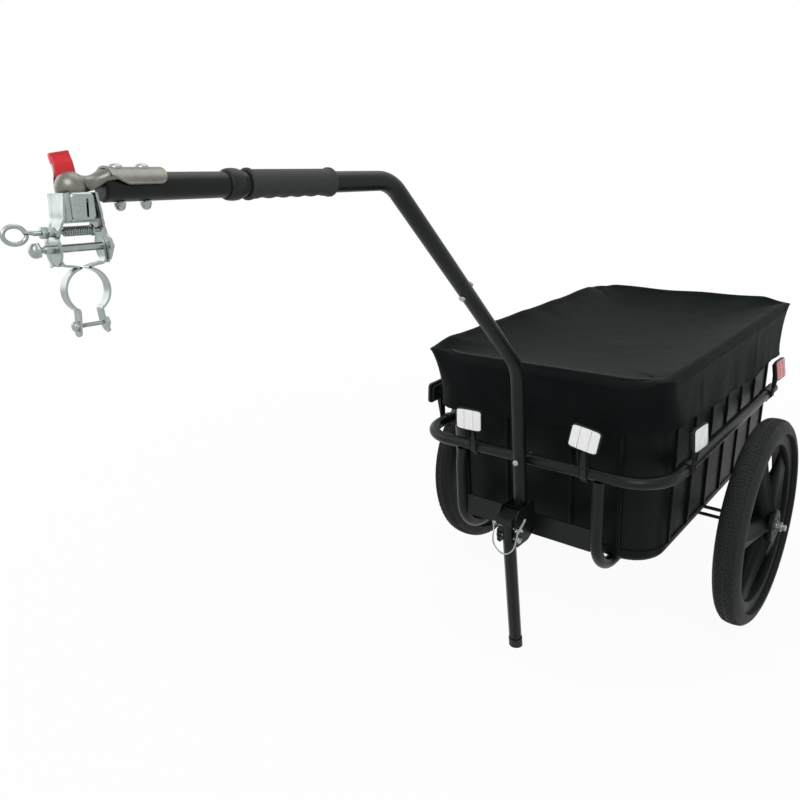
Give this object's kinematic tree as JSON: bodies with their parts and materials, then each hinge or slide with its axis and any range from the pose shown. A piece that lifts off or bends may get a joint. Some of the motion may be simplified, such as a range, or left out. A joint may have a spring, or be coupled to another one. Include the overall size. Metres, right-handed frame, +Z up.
{
  "type": "bicycle cargo trailer",
  "caption": "Two-wheeled cargo trailer with a covered plastic crate in a tubular frame, a cranked drawbar with a grip, a folding prop stand and a ball coupling with a seat-post clamp.",
  "frame": {"origin": "on the ground under the centre of the whole object's box, parked on its wheels and stand", "axes": "-Y forward, to the coupling; +X to the trailer's own left as it is towed, which is the right when it is seen from the coupling; +Z up. left and right in the node names are as seen from the coupling."},
  "size_m": [0.708, 1.5733, 0.8679],
  "materials": {
    "frame_paint": "gloss black powder coat",
    "zinc_steel": "bright zinc plate",
    "dull_zinc": "dull zinc plate",
    "black_plastic": "fine grained moulding",
    "mag_plastic": "satin moulding",
    "tyre_rubber": "matt rubber",
    "grip_rubber": "matt rubber",
    "cover_cloth": "coated cloth",
    "red_plastic": "dipped plastic",
    "white_lens": "moulded prisms",
    "red_lens": "moulded prisms",
    "bearing_steel": "turned"
  },
  "bodies": {
    "frame": {"waist_rail": "frame_paint", "rail_plug_left": "black_plastic", "rail_plug_right": "black_plastic", "hoop_left": "frame_paint", "hoop_right": "frame_paint", "rear_crossbar": "frame_paint", "cross_plate": "frame_paint", "axle_beam": "frame_paint", "outrigger_left": "frame_paint", "outrigger_right": "frame_paint", "axle_left": "zinc_steel", "axle_right": "zinc_steel", "drawbar_lower": "frame_paint", "drawbar_upper": "frame_paint", "seam_bolt": "zinc_steel", "rail_bolt": "zinc_steel", "tow_tube": "frame_paint", "tow_tube_plug": "black_plastic", "grip": "grip_rubber", "grip_collar": "black_plastic", "coupling_saddle": "dull_zinc", "saddle_bolt_front": "zinc_steel", "saddle_bolt_rear": "zinc_steel", "stand_bracket": "frame_paint", "stand_pivot_bolt": "zinc_steel", "reflector_front_left": "black_plastic", "lens_front_left": "white_lens", "reflector_front_right": "black_plastic", "lens_front_right": "white_lens", "reflector_side_left": "black_plastic", "lens_side_left": "white_lens", "reflector_side_right": "black_plastic", "lens_side_right": "white_lens", "reflector_rear_left": "black_plastic", "lens_rear_left": "red_lens", "reflector_rear_right": "black_plastic", "lens_rear_right": "red_lens"},
    "wheel_left": {"tyre_left": "tyre_rubber", "mag_wheel_left": "mag_plastic", "wheel_bearing_left": "bearing_steel"},
    "wheel_right": {"tyre_right": "tyre_rubber", "mag_wheel_right": "mag_plastic", "wheel_bearing_right": "bearing_steel"},
    "stand": {"stand_leg": "frame_paint", "stand_foot": "black_plastic"},
    "stand_pin": {"lock_pin": "zinc_steel"},
    "pin_ring": {"pin_bail": "zinc_steel"},
    "coupling_ball": {"ball": "zinc_steel"},
    "hitch": {"ball_stem": "zinc_steel", "hitch_bracket": "zinc_steel", "long_bolt": "zinc_steel", "eye_spring": "zinc_steel"},
    "latch": {"latch_lever": "zinc_steel", "lever_grip": "red_plastic"},
    "spring_bolt": {"eye_bolt": "zinc_steel"},
    "clamp": {"clamp_strap_front": "zinc_steel", "clamp_strap_rear": "zinc_steel", "clamp_bolt": "zinc_steel"},
    "crate": {"crate": "black_plastic"},
    "cover": {"cover": "cover_cloth"}
  },
  "joints": [
    {"name": "left_wheel_roll", "type": "hinge", "parent": "frame", "child": "wheel_left", "pos_m": [-0.305, 0.3704, 0.2], "axis": [1, 0, 0], "continuous": true},
    {"name": "right_wheel_roll", "type": "hinge", "parent": "frame", "child": "wheel_right", "pos_m": [0.305, 0.3704, 0.2], "axis": [1, 0, 0], "continuous": true},
    {"name": "stand_swing", "type": "hinge", "parent": "frame", "child": "stand", "pos_m": [0, -0.02935, 0.23569], "axis": [1, 0, 0], "range_deg": [0, 55]},
    {"name": "lock_pin_pull", "type": "slide", "parent": "stand", "child": "stand_pin", "axis": [-1, 0, 0], "range_m": [0, 0.055]},
    {"name": "pin_ring_swing", "type": "hinge", "parent": "stand_pin", "child": "pin_ring", "pos_m": [-0.0282, -0.03195, 0.25592], "axis": [0, 0.9992, 0.0401], "range_deg": [0, 95]},
    {"name": "ball_turn", "type": "hinge", "parent": "frame", "child": "coupling_ball", "pos_m": [0, -0.72376, 0.83991], "axis": [0, 0, 1], "range_deg": [-15, 180]},
    {"name": "hitch_tilt", "type": "hinge", "parent": "coupling_ball", "child": "hitch", "pos_m": [0, -0.72376, 0.83991], "axis": [0, 1, 0], "range_deg": [-15, 15]},
    {"name": "latch_squeeze", "type": "hinge", "parent": "hitch", "child": "latch", "pos_m": [-0.014, -0.72376, 0.8199], "axis": [0, -1, 0], "range_deg": [0, 60], "stiffness_Nm_per_rad": 0.12},
    {"name": "eye_bolt_pull", "type": "slide", "parent": "hitch", "child": "spring_bolt", "axis": [0, -1, 0], "range_m": [0, 0.009], "stiffness_N_per_m": 900, "deforming": ["eye_spring"]},
    {"name": "clamp_swing", "type": "hinge", "parent": "hitch", "child": "clamp", "pos_m": [0, -0.72376, 0.7909], "axis": [0, 1, 0], "range_deg": [-85, 85]},
    {"name": "crate_lift", "type": "slide", "parent": "frame", "child": "crate", "axis": [0, -0.0401, 0.9992], "range_m": [0, 0.36]},
    {"name": "cover_lift", "type": "slide", "parent": "crate", "child": "cover", "axis": [0, -0.0401, 0.9992], "range_m": [0, 0.15]}
  ]
}
